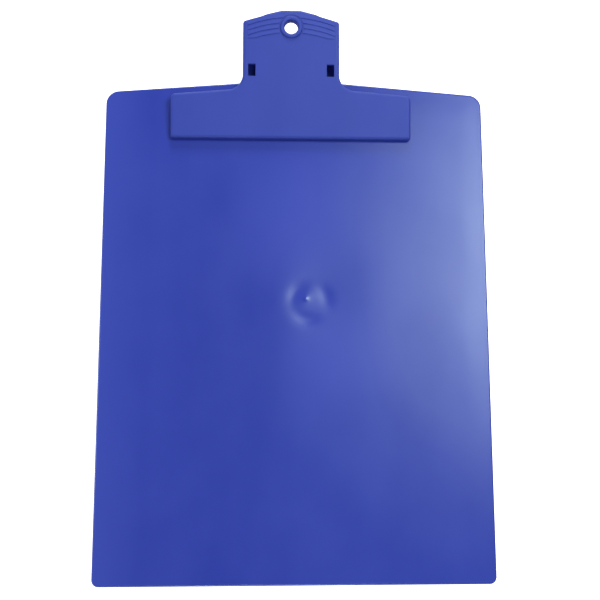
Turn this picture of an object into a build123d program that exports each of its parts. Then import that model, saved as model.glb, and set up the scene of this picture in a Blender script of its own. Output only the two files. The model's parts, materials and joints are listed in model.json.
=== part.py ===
# Clipboard: one moulded board with a sprung, one-piece moulded clip hinged at its head.
#
# Frame, in millimetres: X runs across the board, +Y towards the clip, +Z up out of the
# writing face. The origin is under the middle of the whole length, on the board's back.
# "Along the board" below means a distance from the board's bottom edge.
import os
from math import cos, radians, sin, tan

from build123d import *

os.makedirs("parts", exist_ok=True)

# Board: a plain plate with a shallow gable for a top edge, and a tab under the lever.
overall_length = 338.5
board_width = 229.0
board_thickness = 3.0
shoulder = 290.6  # along the board, to the corners where the gable starts
gable_rise = 9.4
shoulder_radius = 8.0
bottom_radius = 4.0
board_edge_round = 1.2
tab_width = 50.0
tab_end = 323.4
tab_corner = 4.0
tab_base_width = 56.8  # the tab's wider root, under the windows
tab_base_end = 311.5
tab_base_corner = 2.0

# The trimmed sprue where the board was filled, in a shallow dish in its back.
sprue_along = 161.7
sprue_x = 5.5
sprue_dish_radius = 3.5
sprue_dish_depth = 0.5
sprue_stub_radius = 1.6
sprue_stub_height = 0.3

# Hinge: a steel pin in two lugs that stand on the tab. The tab, the lugs and the clip
# share one middle line, which lies a little to the left of the board's.
clip_middle = -2.6
hinge_along = 303.4
hinge_height = 7.4
pin_radius = 1.5
pin_left_end = -21.2  # from the clip's middle
pin_right_end = 21.2
pin_end_chamfer = 0.4
lug_inner_x = 13.0
lug_thickness = 3.6
lug_radius = 2.95
lug_foot_length = 10.0
lug_foot_height = 0.8

# Clip: a T-shaped shell whose face slopes up from the lip to the lever's end.
face_tilt = 7.0  # degrees
face_height = 12.6  # of the outer face, above the hinge
face_thickness = 2.0
wall_thickness = 2.0
lip_thickness = 2.6
jaw_half_width = 72.5
jaw_front = 260.7
jaw_rear_at_end = 287.3
jaw_rear_at_neck = 291.0
neck_half_width = 29.2
neck_fillet = 9.5
jaw_rear_corner = 3.0
jaw_front_corner = 1.5
lever_shoulder = 331.7
lever_step_out = (18.2, 334.9)  # across and along, of the small step in its end
lever_step_in = (14.6, 336.3)
lever_flat_half_width = 5.7
lever_corner = 2.0
face_edge_round = 1.8
hollow_round = 0.6
clamping_gap = 0.1  # between the closed lip and the board
jaw_wall_bottom = 4.6
lever_wall_start = 300.0  # along the board, where the lever's walls start to rise
lever_wall_bottom = 11.0

# Ears: the clip's two eyes for the pin, each between a lug and a window of the face,
# and each with a mouth a little narrower than the pin, which it snaps over.
ear_inner_x = 17.4
ear_thickness = 3.6
ear_radius = 3.1
ear_bore_radius = pin_radius + 0.05
ear_mouth = 2.5
window_inner_x = 21.5
window_width = 4.5
window_start = 298.0
window_end = 305.4

# Hanging hole, through a boss with a raised ring.
hole_along = 327.7
hole_radius = 4.2
ring_radius = 6.8
ring_height = 1.1
ring_round = 1.0
boss_depth = 4.6  # below the outer face

# Grip ribs: low arched wedges each side of the ring, steep towards the jaw.
grip_count = 4
grip_first = 333.6  # along the board, of the crest nearest the lever's end
grip_pitch = 3.03
grip_arc_radius = 72.0
grip_height = 0.35
grip_steep_run = 0.15
grip_gentle_run = 2.6
grip_reach = 26.4
grip_edge_inset = 0.8
grip_gap_at_ring = 0.9

# Torsion spring, wound on the pin between the lugs.
wire_radius = 0.7
coil_radius = 2.35
coil_pitch = 1.5
coil_whole_turns = 6
board_leg_slope = 5.7  # degrees down to the tab
leg_length = 13.0

hinge_y = hinge_along - overall_length / 2
tall = 30.0  # taller than the whole clip, for cuts and blanks


def along(distance):
    """Y of a point this far along the board."""
    return distance - overall_length / 2


def clip_plane(height=0.0):
    """Level plane at this height, with its own origin on the clip's middle line."""
    return Plane(origin=(clip_middle, 0, height))


def face_plane(distance, depth=0.0):
    """Plane of the clip's sloping face, or parallel to it and this depth below."""
    rise = (distance - hinge_along) * tan(radians(face_tilt))
    normal = Vector(0, -sin(radians(face_tilt)), cos(radians(face_tilt)))
    on_face = Vector(clip_middle, along(distance), face_height + rise)
    return Plane(origin=on_face - normal * depth, x_dir=(1, 0, 0), z_dir=normal)


def side_plane(x):
    """Plane across the hinge, x from the clip's middle, whose axes are world Y and Z."""
    return Plane(
        origin=(clip_middle + x, hinge_y, hinge_height),
        x_dir=(0, 1, 0),
        z_dir=(1, 0, 0),
    )


def is_sloped_like_face(face):
    """True for flat faces that look the same way as the clip's outer face."""
    return face.normal_at().dot(face_plane(hinge_along).z_dir) > 0.9999


def with_left_half(right_half):
    """A closed outline from its right-hand points, listed from the bottom up."""
    return right_half + [(-x, y) for x, y in reversed(right_half)]


def at_height(shape, distance):
    """The vertices of a sketch that lie this far along the board."""
    return [v for v in shape.vertices() if abs(v.Y - along(distance)) < 0.01]


# Board
with BuildPart() as board:
    with BuildSketch() as plate_sketch:
        with BuildLine():
            right = board_width / 2
            apex = (0, along(shoulder + gable_rise))
            Polyline(
                *[apex, (-right, along(shoulder)), (-right, along(0))],
                *[(right, along(0)), (right, along(shoulder)), apex],
            )
        make_face()
        fillet(at_height(plate_sketch, 0), bottom_radius)
        fillet(at_height(plate_sketch, shoulder), shoulder_radius)
        with Locations((clip_middle, along((shoulder + tab_end) / 2))):
            RectangleRounded(tab_width, tab_end - shoulder, tab_corner)
        with Locations((clip_middle, along((shoulder + tab_base_end) / 2))):
            RectangleRounded(tab_base_width, tab_base_end - shoulder, tab_base_corner)
    extrude(amount=board_thickness)
    rims = board.faces().filter_by(Axis.Z)
    fillet(rims.edges(), board_edge_round)

    # Lugs, each a tapered foot under a round eye for the pin.
    for lug_x in (lug_inner_x, -lug_inner_x - lug_thickness):
        with BuildSketch(side_plane(lug_x)):
            with BuildLine():
                foot = lug_foot_length / 2
                root = board_thickness - board_edge_round / 2 - hinge_height
                foot_top = board_thickness + lug_foot_height - hinge_height
                Polyline(
                    *[(-foot, root), (foot, root), (foot, foot_top), (lug_radius, 0)],
                    *[(-lug_radius, 0), (-foot, foot_top)],
                    close=True,
                )
            make_face()
            Circle(lug_radius)
            Circle(pin_radius, mode=Mode.SUBTRACT)
        extrude(amount=lug_thickness)

    # Dish and stub of the trimmed sprue.
    with BuildSketch():
        with Locations((sprue_x, along(sprue_along))):
            Circle(sprue_dish_radius)
            Circle(sprue_stub_radius, mode=Mode.SUBTRACT)
    extrude(amount=sprue_dish_depth, mode=Mode.SUBTRACT)
    with BuildSketch():
        with Locations((sprue_x, along(sprue_along))):
            Circle(sprue_stub_radius)
    extrude(amount=sprue_dish_depth - sprue_stub_height, mode=Mode.SUBTRACT)
board.part.label = "board"
export_step(board.part, "parts/board.step")

# The clip's outline, seen from above.
with BuildSketch() as clip_outline:
    with BuildLine():
        Polyline(
            *with_left_half([
                (jaw_half_width, along(jaw_front)),
                (jaw_half_width, along(jaw_rear_at_end)),
                (neck_half_width, along(jaw_rear_at_neck)),
                (neck_half_width, along(lever_shoulder)),
                (lever_step_out[0], along(lever_step_out[1])),
                (lever_step_in[0], along(lever_step_in[1])),
                (lever_flat_half_width, along(overall_length)),
            ]),
            close=True,
        )
    make_face()
    fillet(at_height(clip_outline, jaw_front), jaw_front_corner)
    fillet(at_height(clip_outline, jaw_rear_at_end), jaw_rear_corner)
    fillet(at_height(clip_outline, jaw_rear_at_neck), neck_fillet)
    fillet(at_height(clip_outline, lever_shoulder), lever_corner)

# The clip's hollow: the outline pulled in by the wall, up to the underside of the face.
with BuildPart() as clip_hollow:
    with BuildSketch(clip_plane()):
        add(clip_outline.sketch)
        offset(amount=-wall_thickness, kind=Kind.INTERSECTION)
        with Locations((0, along(jaw_front))):
            Rectangle(board_width, 2 * lip_thickness, mode=Mode.SUBTRACT)
    extrude(amount=tall)
    split(bisect_by=face_plane(hinge_along, face_thickness), keep=Keep.BOTTOM)
    ceiling = clip_hollow.faces().filter_by(is_sloped_like_face)
    fillet(ceiling.edges(), hollow_round)

# The space below the clip's lower edges, seen from the side: the lip reaches the board,
# the jaw's other walls stop short of it, and the lever's walls rise towards its end.
with BuildPart() as below_clip:
    with BuildSketch(Plane.YZ):
        with BuildLine():
            before = along(jaw_front) - 5
            lip_back = along(jaw_front + lip_thickness)
            lip_bottom = board_thickness + clamping_gap
            beyond = along(overall_length) + 5
            Polyline(
                *[(before, -1), (before, lip_bottom), (lip_back, lip_bottom)],
                *[(lip_back + 1, jaw_wall_bottom), (along(lever_wall_start), jaw_wall_bottom)],
                *[(along(overall_length), lever_wall_bottom), (beyond, -1)],
                close=True,
            )
        make_face()
    extrude(amount=board_width, both=True)

# The grip ribs: full rings of a wedge profile, cut down to the lever's face.
with BuildPart() as grip_ribs:
    for rib in range(grip_count):
        crown = face_plane(grip_first - rib * grip_pitch)
        centre = crown.origin - crown.y_dir * grip_arc_radius
        with BuildSketch(Plane(origin=centre, x_dir=crown.y_dir, z_dir=(1, 0, 0))):
            with BuildLine():
                foot = grip_arc_radius - grip_steep_run
                tail = grip_arc_radius + grip_gentle_run
                root = -face_thickness / 2
                Polyline(
                    *[(foot, root), (tail, root), (tail, 0)],
                    *[(grip_arc_radius, grip_height), (foot, 0)],
                    close=True,
                )
            make_face()
        revolve(axis=Axis(centre, crown.z_dir))
    with BuildSketch(clip_plane()):
        add(clip_outline.sketch)
        offset(amount=-grip_edge_inset)
        with Locations((0, along(overall_length))):
            Rectangle(2 * grip_reach, overall_length - hinge_along, mode=Mode.INTERSECT)
    extrude(amount=tall, mode=Mode.INTERSECT)
    with BuildSketch(face_plane(hole_along, boss_depth)):
        Circle(ring_radius + grip_gap_at_ring)
    extrude(amount=tall, mode=Mode.SUBTRACT)

# Clip
with BuildPart() as clip:
    with BuildSketch(clip_plane()):
        add(clip_outline.sketch)
    extrude(amount=tall)
    split(bisect_by=face_plane(hinge_along), keep=Keep.BOTTOM)
    outer_face = clip.faces().filter_by(is_sloped_like_face)
    fillet(outer_face.edges(), face_edge_round)
    add(clip_hollow.part, mode=Mode.SUBTRACT)
    add(below_clip.part, mode=Mode.SUBTRACT)

    # Ears, each an eye hanging from the underside of the face.
    for ear_x in (ear_inner_x, -ear_inner_x - ear_thickness):
        with BuildSketch(side_plane(ear_x)):
            Circle(ear_radius)
            Rectangle(
                2 * ear_radius,
                face_height - face_thickness - hinge_height,
                align=(Align.CENTER, Align.MIN),
            )
            Circle(ear_bore_radius, mode=Mode.SUBTRACT)
            with Locations((0, -ear_radius)):
                Rectangle(ear_mouth, 2 * ear_radius, mode=Mode.SUBTRACT)
        extrude(amount=ear_thickness)

    # Windows beside the ears.
    with BuildSketch(clip_plane(hinge_height)):
        for side in (-1, 1):
            window_x = side * (window_inner_x + window_width / 2)
            with Locations((window_x, along((window_start + window_end) / 2))):
                Rectangle(window_width, window_end - window_start)
    extrude(amount=tall, mode=Mode.SUBTRACT)

    # Boss with its raised ring, and the hanging hole through it.
    with BuildSketch(face_plane(hole_along, boss_depth)):
        Circle(ring_radius)
    extrude(amount=boss_depth + ring_height)
    with BuildSketch(face_plane(hole_along, boss_depth)):
        Circle(hole_radius)
    extrude(amount=boss_depth + ring_height, mode=Mode.SUBTRACT)
    ring_top = clip.faces().filter_by(is_sloped_like_face).sort_by(Axis.Z)[-1]
    fillet(ring_top.edges(), ring_round)
    add(grip_ribs.part)
clip.part.label = "clip"
export_step(clip.part, "parts/clip.step")

# Hinge pin
with BuildPart() as hinge_pin:
    with BuildSketch(side_plane(pin_left_end)):
        Circle(pin_radius)
    extrude(amount=pin_right_end - pin_left_end)
    pin_ends = hinge_pin.faces().filter_by(Axis.X)
    chamfer(pin_ends.edges(), pin_end_chamfer)
hinge_pin.part.label = "hinge_pin"
export_step(hinge_pin.part, "parts/hinge_pin.step")

# Torsion spring: from a leg on the tab, round the pin and out to a leg under the lever.
# Seen from the +X side it winds clockwise, so pressing the lever winds it tighter.
last_part_turn = (180 - board_leg_slope - face_tilt) / 360
coil_length = coil_pitch * (coil_whole_turns + last_part_turn)
with BuildLine() as wire_path:
    coil = Helix(coil_pitch, coil_length, coil_radius, lefthand=True)
    Line(coil @ 0 - (coil % 0) * leg_length, coil @ 0)
    Line(coil @ 1, coil @ 1 + (coil % 1) * leg_length)
coil_start = Vector(0, -sin(radians(board_leg_slope)), -cos(radians(board_leg_slope)))
coil_plane = Plane(
    origin=(clip_middle - coil_length / 2, hinge_y, hinge_height),
    x_dir=coil_start,
    z_dir=(1, 0, 0),
)
wire = wire_path.wire().moved(coil_plane.location)
with BuildPart() as torsion_spring:
    with BuildSketch(Plane(origin=wire @ 0, z_dir=wire % 0)):
        Circle(wire_radius)
    sweep(path=wire, is_frenet=True)
torsion_spring.part.label = "torsion_spring"
export_step(torsion_spring.part, "parts/torsion_spring.step")
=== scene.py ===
import json
import math

import bpy
import numpy as np
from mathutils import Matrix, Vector
from mathutils.geometry import delaunay_2d_cdt


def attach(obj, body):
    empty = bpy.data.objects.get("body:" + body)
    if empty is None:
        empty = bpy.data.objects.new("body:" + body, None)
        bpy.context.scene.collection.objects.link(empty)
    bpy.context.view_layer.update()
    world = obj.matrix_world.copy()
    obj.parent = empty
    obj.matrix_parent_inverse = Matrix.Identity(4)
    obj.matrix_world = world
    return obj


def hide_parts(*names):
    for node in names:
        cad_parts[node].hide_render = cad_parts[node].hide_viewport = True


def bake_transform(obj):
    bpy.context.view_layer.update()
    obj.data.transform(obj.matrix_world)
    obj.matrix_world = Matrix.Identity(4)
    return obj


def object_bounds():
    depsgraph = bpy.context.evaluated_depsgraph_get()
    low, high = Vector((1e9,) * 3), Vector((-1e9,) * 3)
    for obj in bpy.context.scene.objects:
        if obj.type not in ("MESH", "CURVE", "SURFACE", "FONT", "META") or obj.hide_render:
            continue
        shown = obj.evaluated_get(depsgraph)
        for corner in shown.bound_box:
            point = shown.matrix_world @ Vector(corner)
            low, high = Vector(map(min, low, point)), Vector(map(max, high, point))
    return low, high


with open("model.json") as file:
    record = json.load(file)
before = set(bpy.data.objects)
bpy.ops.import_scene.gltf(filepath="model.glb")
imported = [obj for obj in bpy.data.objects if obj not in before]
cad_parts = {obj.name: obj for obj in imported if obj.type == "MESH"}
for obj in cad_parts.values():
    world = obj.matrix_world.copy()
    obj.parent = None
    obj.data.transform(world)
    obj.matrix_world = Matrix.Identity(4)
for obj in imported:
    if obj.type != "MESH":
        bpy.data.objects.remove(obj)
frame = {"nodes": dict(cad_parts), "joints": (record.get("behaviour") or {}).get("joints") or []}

MM = 0.001
cad_low, cad_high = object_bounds()
hinge = frame["joints"][0]["pos_m"]

# ---------------------------------------------------------------- camera
# Almost straight down, from over the board's lower half, a little left of the middle.
CAMERA_PLACE = (-0.01802, -0.08895, 0.53214)
CAMERA_TURN = (8.867, -2.227, -0.133)  # degrees about X, Y and Z
CAMERA_LENS = 54.49  # mm
CAMERA_SENSOR = 36.0  # mm
CAMERA_SEES = (0.01, 20.0)  # metres, the nearest and the farthest


def make_camera():
    data = bpy.data.cameras.new("camera")
    data.lens = CAMERA_LENS
    data.sensor_width = CAMERA_SENSOR
    data.clip_start, data.clip_end = CAMERA_SEES
    camera = bpy.data.objects.new("camera", data)
    camera.location = CAMERA_PLACE
    camera.rotation_euler = [math.radians(a) for a in CAMERA_TURN]
    bpy.context.scene.collection.objects.link(camera)
    bpy.context.scene.camera = camera


# ---------------------------------------------------------------- lights and floor
def soft_light(name, azimuth, zenith, distance, size, power):
    """A square area light that looks at the origin from this direction, in degrees."""
    data = bpy.data.lights.new(name, "AREA")
    data.shape = "SQUARE"
    data.size = size
    data.energy = power
    light = bpy.data.objects.new(name, data)
    a, z = math.radians(azimuth), math.radians(zenith)
    towards = Vector((math.sin(z) * math.cos(a), math.sin(z) * math.sin(a), math.cos(z)))
    light.location = towards * distance
    light.rotation_euler = towards.to_track_quat("Z", "Y").to_euler()
    bpy.context.scene.collection.objects.link(light)


LIGHT_DISTANCE = 1.3
LIGHT_SIZE = 0.36
# Name, azimuth and zenith angle in degrees, and power in watts. The keys hang high up,
# to the right and towards the head, so that their soft reflection fills the right-hand
# side of the board.
LIGHTS = [
    ("key_low", 25, 34, 6.0),
    ("key_high", 44, 30, 2.15),
    ("key_side", 10, 25, 2.65),
    ("key_inner", 35, 25, 0.75),
    ("overhead", 30, 14, 0.6),
    ("fill_head", 90, 64, 9.5),
    ("fill_foot", 270, 64, 5.5),
    ("fill_left", 180, 66, 5.2),
]
WORLD_STRENGTH = 0.28

FLOOR_HALF = 3.0  # half its side
FLOOR_DROP = 0.1 * MM  # below the board
FLOOR_WHITE = (0.9, 0.9, 0.9)
FLOOR_ROUGHNESS = 0.9


def make_lights():
    world = bpy.data.worlds.new("studio")
    bpy.context.scene.world = world
    world.use_nodes = True
    tree = world.node_tree
    background = tree.nodes["Background"]
    background.inputs["Color"].default_value = (1, 1, 1, 1)
    # Past the floor's edge it looks white, but it lights the object only this weakly.
    ray = tree.nodes.new("ShaderNodeLightPath")
    strength = tree.nodes.new("ShaderNodeMath")
    strength.operation = "MAXIMUM"
    strength.inputs[1].default_value = WORLD_STRENGTH
    tree.links.new(ray.outputs["Is Camera Ray"], strength.inputs[0])
    tree.links.new(strength.outputs[0], background.inputs["Strength"])
    for name, azimuth, zenith, power in LIGHTS:
        soft_light(name, azimuth, zenith, LIGHT_DISTANCE, LIGHT_SIZE, power)
    bpy.context.scene.view_settings.view_transform = "Standard"


def make_floor():
    mesh = bpy.data.meshes.new("floor")
    half = FLOOR_HALF
    corners = [(-half, -half), (half, -half), (half, half), (-half, half)]
    mesh.from_pydata([(x, y, -FLOOR_DROP) for x, y in corners], [], [(0, 1, 2, 3)])
    floor = bpy.data.objects.new("floor", mesh)
    bpy.context.scene.collection.objects.link(floor)
    material = bpy.data.materials.new("floor_white")
    material.use_nodes = True
    tree = material.node_tree
    shader = tree.nodes["Principled BSDF"]
    shader.inputs["Base Color"].default_value = (*FLOOR_WHITE, 1)
    shader.inputs["Roughness"].default_value = FLOOR_ROUGHNESS
    shader.inputs["Emission Color"].default_value = (1, 1, 1, 1)
    # It looks white where the object shades it, and lights nothing itself.
    ray = tree.nodes.new("ShaderNodeLightPath")
    tree.links.new(ray.outputs["Is Camera Ray"], shader.inputs["Emission Strength"])
    mesh.materials.append(material)


# ---------------------------------------------------------------- materials
# The Mix node has sockets for each kind of value, and these are the colour ones.
MIX_COLOUR_A, MIX_COLOUR_B, MIX_COLOUR_OUT = 6, 7, 2


class Nodes:
    """Adds shader nodes to one material and wires them up."""

    def __init__(self, name):
        self.material = bpy.data.materials.new(name)
        self.material.use_nodes = True
        self.tree = self.material.node_tree
        self.shader = self.tree.nodes["Principled BSDF"]
        place = self.tree.nodes.new("ShaderNodeTexCoord")
        self.place = place.outputs["Object"]

    def add(self, kind, settings=(), **inputs):
        node = self.tree.nodes.new(kind)
        for key, value in dict(settings).items():
            setattr(node, key, value)
        for key, value in inputs.items():
            self.put(node.inputs[key.replace("_", " ")], value)
        return node

    def put(self, socket, value):
        if isinstance(value, bpy.types.NodeSocket):
            self.tree.links.new(value, socket)
        else:
            socket.default_value = value

    def noise(self, scale, detail=2.0, stretch=(1, 1, 1)):
        """Noise whose features are about 1/scale metres across, times stretch."""
        squeeze = self.add("ShaderNodeMapping", Vector=self.place)
        squeeze.inputs["Scale"].default_value = [1 / s for s in stretch]
        noise = self.add(
            "ShaderNodeTexNoise",
            Vector=squeeze.outputs["Vector"],
            Scale=scale,
            Detail=detail,
        )
        return noise.outputs["Fac"]

    def across(self):
        """Metres from the object's middle plane, to the right."""
        node = self.add("ShaderNodeSeparateXYZ", Vector=self.place)
        return node.outputs["X"]

    def oval(self, middle, reach):
        """1 at the middle of an oval, an (x, y) place, falling to 0 at its rim."""
        place = self.add("ShaderNodeMapping", {"vector_type": "TEXTURE"}, Vector=self.place)
        place.inputs["Location"].default_value = (middle[0] * MM, middle[1] * MM, 0)
        place.inputs["Scale"].default_value = (reach[0] * MM, reach[1] * MM, 1)
        fall = self.add(
            "ShaderNodeTexGradient",
            {"gradient_type": "SPHERICAL"},
            Vector=place.outputs["Vector"],
        )
        return fall.outputs["Fac"]

    def spread(self, value, low=0.0, high=1.0, start=0.3, stop=0.7):
        """The part of value from start to stop, spread over low to high. The bulk of
        a noise lies between 0.3 and 0.7."""
        node = self.add("ShaderNodeMapRange", Value=value)
        node.inputs["From Min"].default_value = start
        node.inputs["From Max"].default_value = stop
        node.inputs["To Min"].default_value = low
        node.inputs["To Max"].default_value = high
        return node.outputs["Result"]

    def blend(self, factor, first, second):
        """From the first colour, at a factor of 0, to the second, at 1."""
        node = self.add("ShaderNodeMix", {"data_type": "RGBA"})
        self.put(node.inputs["Factor"], factor)
        self.put(node.inputs[MIX_COLOUR_A], first)
        self.put(node.inputs[MIX_COLOUR_B], second)
        return node.outputs[MIX_COLOUR_OUT]

    def sum(self, first, second):
        node = self.add("ShaderNodeMath", {"operation": "ADD"})
        self.put(node.inputs[0], first)
        self.put(node.inputs[1], second)
        return node.outputs[0]

    def bump(self, height, distance, below=None):
        node = self.add("ShaderNodeBump", Height=height, Distance=distance)
        if below is not None:
            self.put(node.inputs["Normal"], below)
        return node.outputs["Normal"]


PLASTIC_IOR = 1.49
GLOSS_TINT = (0.784, 0.969, 1.0)
GLOSS_MOTTLE = 0.01  # of roughness, up and down
RIPPLE_HEIGHT = 0.006 * MM
GRAIN_HEIGHT = 0.002 * MM
# Painted sheen: a paler band along the board's left rim, standing in for the light that the
# crowned rim would catch.
SHEEN_BLUE = (0.0300, 0.0500, 0.330)
SHEEN_WIDTH = 28 * MM
# Painted reflection: pale ovals where the board's gloss looks brighter, painted into its colour.
PATCH_SHEEN_BLUE = (0.0285, 0.0460, 0.330)
SHEEN_PATCHES = [((2, 48), (44, 58)), ((22, -42), (38, 40))]  # middle and reach, in mm
SHEEN_PATCH_SLOPE = 0.8  # of the way in from the rim, where a painted sheen patch is full

STEEL_LINE_HEIGHT = 0.004 * MM
STEEL_LINE_GLOSS = (-0.05, 0.08)  # of roughness, from the smoothest to the roughest line


def moulded_plastic(name, pale, deep, roughness, sheen_edge=None, sheen_patches=()):
    """Polypropylene: clouded pigment, low ripples, a fine moulded grain, a mottled gloss.
    Towards sheen_edge, a place to the left, it is painted a little paler: a painted sheen, where
    the crowned rim would catch the light.
    Sheen patches are pale ovals painted in: painted reflection, where the uneven face would
    catch more of the light."""
    nodes = Nodes(name)
    clouds = nodes.noise(scale=26, detail=4)
    flow = nodes.noise(scale=30, detail=3, stretch=(1, 6, 1))
    mix = nodes.spread(nodes.sum(clouds, flow), start=0.75, stop=1.25)
    colour = nodes.blend(mix, (*deep, 1), (*pale, 1))
    # Painted sheen: paler in a band towards the left rim.
    if sheen_edge is not None:
        inward = sheen_edge + SHEEN_WIDTH
        left_sheen = nodes.spread(nodes.across(), low=1, high=0, start=sheen_edge, stop=inward)
        colour = nodes.blend(left_sheen, colour, (*SHEEN_BLUE, 1))
    # Painted reflection: each pale oval is lighter where the gloss would catch more light.
    for middle, reach in sheen_patches:
        patch_sheen = nodes.spread(nodes.oval(middle, reach), start=0, stop=SHEEN_PATCH_SLOPE)
        colour = nodes.blend(patch_sheen, colour, (*PATCH_SHEEN_BLUE, 1))
    nodes.put(nodes.shader.inputs["Base Color"], colour)
    smoothest, roughest = roughness - GLOSS_MOTTLE, roughness + GLOSS_MOTTLE
    mottle = nodes.spread(nodes.noise(scale=45), smoothest, roughest)
    nodes.put(nodes.shader.inputs["Roughness"], mottle)
    nodes.shader.inputs["IOR"].default_value = PLASTIC_IOR
    nodes.shader.inputs["Specular Tint"].default_value = (*GLOSS_TINT, 1)
    ripple = nodes.bump(nodes.noise(scale=60), RIPPLE_HEIGHT)
    grain = nodes.bump(nodes.noise(scale=1500), GRAIN_HEIGHT, below=ripple)
    nodes.put(nodes.shader.inputs["Normal"], grain)
    return nodes.material


def drawn_steel(name, bright, dull, roughness):
    """Drawn steel: fine lines along X, which is the pin's length, and dull oxide patches."""
    nodes = Nodes(name)
    patches = nodes.spread(nodes.noise(scale=500, detail=4))
    colour = nodes.blend(patches, (*bright, 1), (*dull, 1))
    nodes.put(nodes.shader.inputs["Base Color"], colour)
    nodes.shader.inputs["Metallic"].default_value = 1
    lines = nodes.noise(scale=6000, stretch=(12, 1, 1))
    smoothest, roughest = [roughness + change for change in STEEL_LINE_GLOSS]
    rough = nodes.spread(lines, smoothest, roughest)
    nodes.put(nodes.shader.inputs["Roughness"], rough)
    nodes.put(nodes.shader.inputs["Normal"], nodes.bump(lines, STEEL_LINE_HEIGHT))
    return nodes.material


def dress(item, material):
    item.data.materials.clear()
    item.data.materials.append(material)


# ---------------------------------------------------------------- the board
# The writing face is crowned by a hair, with low waves. At the gate, where the plastic
# was let into the mould, it has a knob on a low mound, in an uneven ring-shaped sink,
# and the face swells and dips a little on either side. All of it is in millimetres.
FACE_CROWN = 0.08
CROWN_RUN = 14.0  # in from the rim, as is the next one
WAVE_FADE = 20.0
# Each wave's height, how far it runs along X and along Y in a radian, how many radians
# it bends by on its way along Y, and where it starts.
WAVES = [
    (0.05, 17.0, math.inf, 0.6, 0.0),
    (0.06, 60.0, 23.0, 0.0, 1.0),
    (0.04, 12.5, 12.5, 0.0, 2.0),
]
BEND_RUN = 31.0  # of the bending, in a radian
GATE = (5.6, -7.6)
KNOB_PLACE = (0.5, 2.0)  # from the gate
KNOB_HEIGHT = 0.28
KNOB_RADIUS = 1.35
MOUND_HEIGHT = 0.2
MOUND_RADIUS = 3.8
SINK_SHIFT = 3.0  # to the right
SINK_DEPTH = 0.5
SINK_RADIUS = 10.2
SINK_WIDTH = 4.0
SINK_TURN = 2.45  # radians, to the first of its three deepest stretches
SINK_SHARE = 0.52  # of its depth, on average
SINK_THIRDS = 0.32  # of its depth, more at the three deepest stretches
SINK_LEFT = 0.2  # of its depth, more on the left than on average
SWELL_HEIGHT = 0.4
SWELL_LENGTH = 10.4  # in a radian
SWELL_START = -34.0  # from the gate
SWELL_REACH = (42.0, 24.0)
# The remade face has a mesh that is fine round the gate and coarse elsewhere.
COARSE_STEP = 4.0
FINE_STEP = 0.7
FINE_REACH = 24.0
SLOPE_STEP = 0.05  # either side of a point, to measure the slope there
SAME_PLANE = 0.001
SAME_POINT = 1e-6
RIM_DIGITS = 5  # after the point, to match the ends of the rim's edges
FACING_UP = 0.999  # the least Z of a corner normal on the flat face
WIDE_AREA = 2000.0  # mm2: only the board's two big faces have triangles as large


def smooth(t):
    t = np.clip(t, 0, 1)
    return t * t * (3 - 2 * t)


def face_relief(x, y, inset):
    """Height of the writing face over its plane, in mm, this far inside its rim."""
    crown = FACE_CROWN * smooth(inset / CROWN_RUN)
    waves = 0
    for high, run_x, run_y, bend, start in WAVES:
        angle = x / run_x + y / run_y + bend * np.sin(y / BEND_RUN) + start
        waves = waves + high * np.sin(angle)
    gx, gy = x - GATE[0], y - GATE[1]
    from_knob = np.hypot(gx - KNOB_PLACE[0], gy - KNOB_PLACE[1])
    knob = KNOB_HEIGHT * np.exp(-((from_knob / KNOB_RADIUS) ** 2))
    mound = MOUND_HEIGHT * np.exp(-((from_knob / MOUND_RADIUS) ** 2))
    from_sink = np.hypot(gx - SINK_SHIFT, gy)
    turn = np.arctan2(gy, gx - SINK_SHIFT)
    thirds = SINK_THIRDS * np.cos(3 * (turn - SINK_TURN))
    uneven = SINK_SHARE + thirds - SINK_LEFT * np.cos(turn)
    ring = (from_sink - SINK_RADIUS) / SINK_WIDTH
    sink = SINK_DEPTH * uneven * np.exp(-(ring**2))
    swell = SWELL_HEIGHT * np.sin((gx - SWELL_START) / SWELL_LENGTH)
    swell = swell * np.exp(-((gx / SWELL_REACH[0]) ** 2) - (gy / SWELL_REACH[1]) ** 2)
    inner = smooth(inset / WAVE_FADE)
    return crown + inner * (waves + knob + mound - sink + swell)


def corner_arrays(mesh):
    """The mesh's points, its triangles and the normal at each of their corners."""
    points = np.array([v.co for v in mesh.vertices])
    corners = np.array([p.vertices[:] for p in mesh.polygons])
    normals = np.array([n.vector[:] for n in mesh.corner_normals])
    return points, corners, normals.reshape(-1, 3, 3)


def rim_of(points, triangles):
    """Pairs of 2-D points: the edges that only one of these triangles has."""
    seen = {}
    for triangle in triangles:
        spots = [tuple(np.round(points[i, :2], RIM_DIGITS)) for i in triangle]
        for a, b in zip(spots, spots[1:] + spots[:1]):
            key = frozenset((a, b))
            seen[key] = seen.get(key, []) + [(a, b)]
    return np.array([pairs[0] for pairs in seen.values() if len(pairs) == 1])


def distance_to(rim, spots):
    """How far each spot is from the nearest edge of the rim."""
    a, b = rim[:, 0], rim[:, 1]
    run = b - a
    length = (run**2).sum(1)
    best = np.full(len(spots), np.inf)
    for start, step, square in zip(a, run, length):
        t = np.clip(((spots - start) @ step) / square, 0, 1)
        gap = spots - start - t[:, None] * step
        best = np.minimum(best, (gap**2).sum(1))
    return np.sqrt(best)


def inside(rim, spots):
    """True for each spot that an odd number of the rim's edges lies to the right of."""
    crossings = np.zeros(len(spots), int)
    for (ax, ay), (bx, by) in rim:
        spans = (ay > spots[:, 1]) != (by > spots[:, 1])
        if ay != by:
            crossing_x = ax + (spots[:, 1] - ay) * (bx - ax) / (by - ay)
            crossings += spans & (spots[:, 0] < crossing_x)
    return crossings % 2 == 1


def lattice(low, high, step):
    x, y = np.meshgrid(np.arange(low[0], high[0], step), np.arange(low[1], high[1], step))
    shift = (np.arange(len(x)) % 2)[:, None] * step / 2
    return np.stack([(x + shift).ravel(), y.ravel()], 1)


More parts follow.
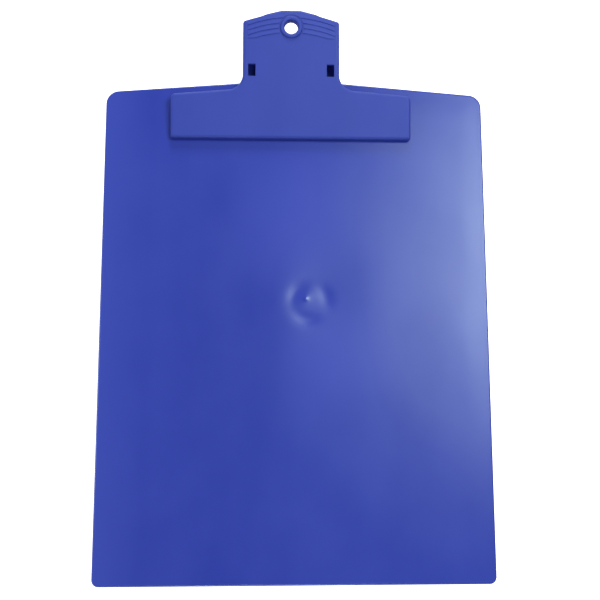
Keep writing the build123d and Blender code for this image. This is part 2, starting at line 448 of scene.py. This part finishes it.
def face_points(rim):
    """Points to fill the face with, in mm: close together round the gate, else sparse."""
    low, high = rim.reshape(-1, 2).min(0), rim.reshape(-1, 2).max(0)
    coarse = lattice(low, high, COARSE_STEP)
    fine = lattice(np.array(GATE) - FINE_REACH, np.array(GATE) + FINE_REACH, FINE_STEP)
    reach = np.hypot(*(coarse - GATE).T)
    coarse = coarse[reach > FINE_REACH + COARSE_STEP / 2]
    reach = np.hypot(*(fine - GATE).T)
    fine = fine[reach < FINE_REACH]
    spots = np.concatenate([coarse, fine])
    spots = spots[inside(rim, spots)]
    return spots[distance_to(rim, spots) > COARSE_STEP / 2]


def filled_face(rim, level):
    """Points, triangles and corner normals of the writing face, in mm, inside its rim."""
    ends = sorted({tuple(p) for p in rim.reshape(-1, 2)})
    number = {p: i for i, p in enumerate(ends)}
    edges = [(number[tuple(a)], number[tuple(b)]) for a, b in rim]
    spots = [Vector(p) for p in ends] + [Vector(p) for p in face_points(rim)]
    flat, _, faces, *_ = delaunay_2d_cdt(spots, edges, [], 0, SAME_POINT)
    flat = np.array([v[:] for v in flat])
    faces = np.array(faces)
    faces = faces[inside(rim, flat[faces].mean(1))]

    def height(x, y):
        return face_relief(x, y, distance_to(rim, np.stack([x, y], 1)))

    x, y = flat.T
    step = SLOPE_STEP
    slope_x = (height(x + step, y) - height(x - step, y)) / (2 * step)
    slope_y = (height(x, y + step) - height(x, y - step)) / (2 * step)
    normals = np.stack([-slope_x, -slope_y, np.ones(len(x))], 1)
    normals /= np.linalg.norm(normals, axis=1)[:, None]
    points = np.stack([x, y, level + height(x, y)], 1)
    return points, faces, normals[faces]


def is_wide(corners):
    a, b, c = corners
    return np.linalg.norm(np.cross(b - a, c - a)) / 2 > WIDE_AREA


def make_board():
    """The CAD board with its flat writing face swapped for the moulded one."""
    source = frame["nodes"]["board"].data
    points, triangles, normals = corner_arrays(source)
    points = points / MM
    level = max(points[t, 2].min() for t in triangles if is_wide(points[t]))
    level = round(level, 3)  # to a micrometre
    on_face = (np.abs(points[triangles][:, :, 2] - level) < SAME_PLANE).all(1)
    on_face &= normals[:, :, 2].min(1) > FACING_UP
    rim = rim_of(points, triangles[on_face])
    face, face_triangles, face_normals = filled_face(rim, level)
    kept, kept_normals = triangles[~on_face], normals[~on_face]
    used, kept = np.unique(kept, return_inverse=True)
    kept = kept.reshape(-1, 3)
    all_points = np.concatenate([points[used], face]) * MM
    all_triangles = np.concatenate([kept, face_triangles + len(used)])
    all_normals = np.concatenate([kept_normals, face_normals]).reshape(-1, 3)
    mesh = bpy.data.meshes.new("board_shell")
    mesh.from_pydata(all_points.tolist(), [], all_triangles.tolist())
    mesh.shade_smooth()
    mesh.normals_split_custom_set(all_normals.tolist())
    board = bpy.data.objects.new("board_shell", mesh)
    bpy.context.scene.collection.objects.link(board)
    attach(board, "board")
    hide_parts("board")
    return board


# ---------------------------------------------------------------- the spring
# It winds round the hinge pin, left to right. All lengths are in millimetres.
WIRE_RADIUS = 0.7
COIL_RADIUS = 2.35
COIL_PITCH = 1.5
COIL_TURNS = 6  # and nearly half a turn more, from leg to leg
BOARD_LEG_SLOPE = 5.7  # degrees, down to the tab
LEVER_LEG_SLOPE = 7.0  # degrees, up to the underside of the lever
LEG_LENGTH = 13.0
LEG_STEPS = 4
STEPS_A_TURN = 32
WIRE_SIDES = 14
# The rounded edge of a cut end: its radius, and how far it stands past the last section
# of the wire, both in wire radii.
CUT_END = [(1.0, 0.0), (0.93, 0.18), (0.75, 0.25)]


def unit(v):
    return v / np.linalg.norm(v)


def spring_line():
    """Points along the middle of the wire, in mm from the hinge: leg, coil, leg."""
    turns = COIL_TURNS + (180 - BOARD_LEG_SLOPE - LEVER_LEG_SLOPE) / 360
    steps = round(turns * STEPS_A_TURN)
    t = np.linspace(0, turns, steps + 1)
    angle = -np.pi / 2 - math.radians(BOARD_LEG_SLOPE) - 2 * np.pi * t
    x = COIL_PITCH * (t - turns / 2)
    coil = np.stack([x, COIL_RADIUS * np.cos(angle), COIL_RADIUS * np.sin(angle)], 1)
    first = unit(coil[0] - coil[1])
    last = unit(coil[-1] - coil[-2])
    reach = np.linspace(LEG_LENGTH, LEG_LENGTH / LEG_STEPS, LEG_STEPS)[:, None]
    return np.concatenate([coil[0] + first * reach, coil, coil[-1] + last * reach[::-1]])


def wire_mesh(name, line, radius, sides):
    """A round wire along this line, both ends cut flat with a rounded edge."""
    along = np.gradient(line, axis=0)
    along /= np.linalg.norm(along, axis=1)[:, None]
    across = unit(np.cross(along[0], (1, 0, 0)))
    angles = np.linspace(0, 2 * np.pi, sides, endpoint=False)[:, None]
    spokes = []
    for direction in along:
        across = unit(across - direction * (across @ direction))
        up = np.cross(direction, across)
        spokes.append(np.cos(angles) * across + np.sin(angles) * up)

    def cut_end(end, sign):
        out = along[end] * sign
        return [line[end] + (out * d + spokes[end] * r) * radius for r, d in CUT_END]

    body = [place + around * radius for place, around in zip(line, spokes)]
    hoops = cut_end(0, -1)[::-1] + body[1:-1] + cut_end(-1, 1)
    points = [tuple(p) for hoop in hoops for p in hoop]
    faces = []
    last = (len(hoops) - 1) * sides
    for a in range(0, last, sides):
        b = a + sides
        for j in range(sides):
            k = (j + 1) % sides
            faces.append((a + j, a + k, b + k, b + j))
    faces.append(tuple(reversed(range(sides))))
    faces.append(tuple(last + j for j in range(sides)))
    mesh = bpy.data.meshes.new(name)
    mesh.from_pydata(points, [], faces)
    return mesh


def make_spring():
    line = spring_line() * MM + np.array(hinge)
    mesh = wire_mesh("spring_wire", line, WIRE_RADIUS * MM, WIRE_SIDES)
    mesh.shade_smooth()
    spring = bpy.data.objects.new("spring_wire", mesh)
    bpy.context.scene.collection.objects.link(spring)
    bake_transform(spring)
    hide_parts("torsion_spring")
    return spring


# ---------------------------------------------------------------- the whole scene
BOARD_PALE = (0.0228, 0.0402, 0.302)
BOARD_DEEP = (0.0170, 0.0325, 0.280)
CLIP_PALE = (0.0154, 0.0315, 0.288)
CLIP_DEEP = (0.0113, 0.0258, 0.268)
STEEL_BRIGHT = (0.55, 0.56, 0.58)
STEEL_DULL = (0.34, 0.34, 0.36)
# How rough each piece is. The clip is more matt than the board.
BOARD_ROUGHNESS = 0.26
CLIP_ROUGHNESS = 0.6
PIN_ROUGHNESS = 0.28
SPRING_ROUGHNESS = 0.34

make_camera()
make_lights()
make_floor()
board_plastic = moulded_plastic(
    "board_plastic",
    BOARD_PALE,
    BOARD_DEEP,
    BOARD_ROUGHNESS,
    sheen_edge=cad_low[0],
    sheen_patches=SHEEN_PATCHES,
)
dress(make_board(), board_plastic)
clip_plastic = moulded_plastic("clip_plastic", CLIP_PALE, CLIP_DEEP, CLIP_ROUGHNESS)
dress(frame["nodes"]["clip"], clip_plastic)
pin_steel = drawn_steel("pin_steel", STEEL_BRIGHT, STEEL_DULL, PIN_ROUGHNESS)
dress(frame["nodes"]["hinge_pin"], pin_steel)
spring = make_spring()
spring_steel = drawn_steel("spring_steel", STEEL_BRIGHT, STEEL_DULL, SPRING_ROUGHNESS)
dress(spring, spring_steel)
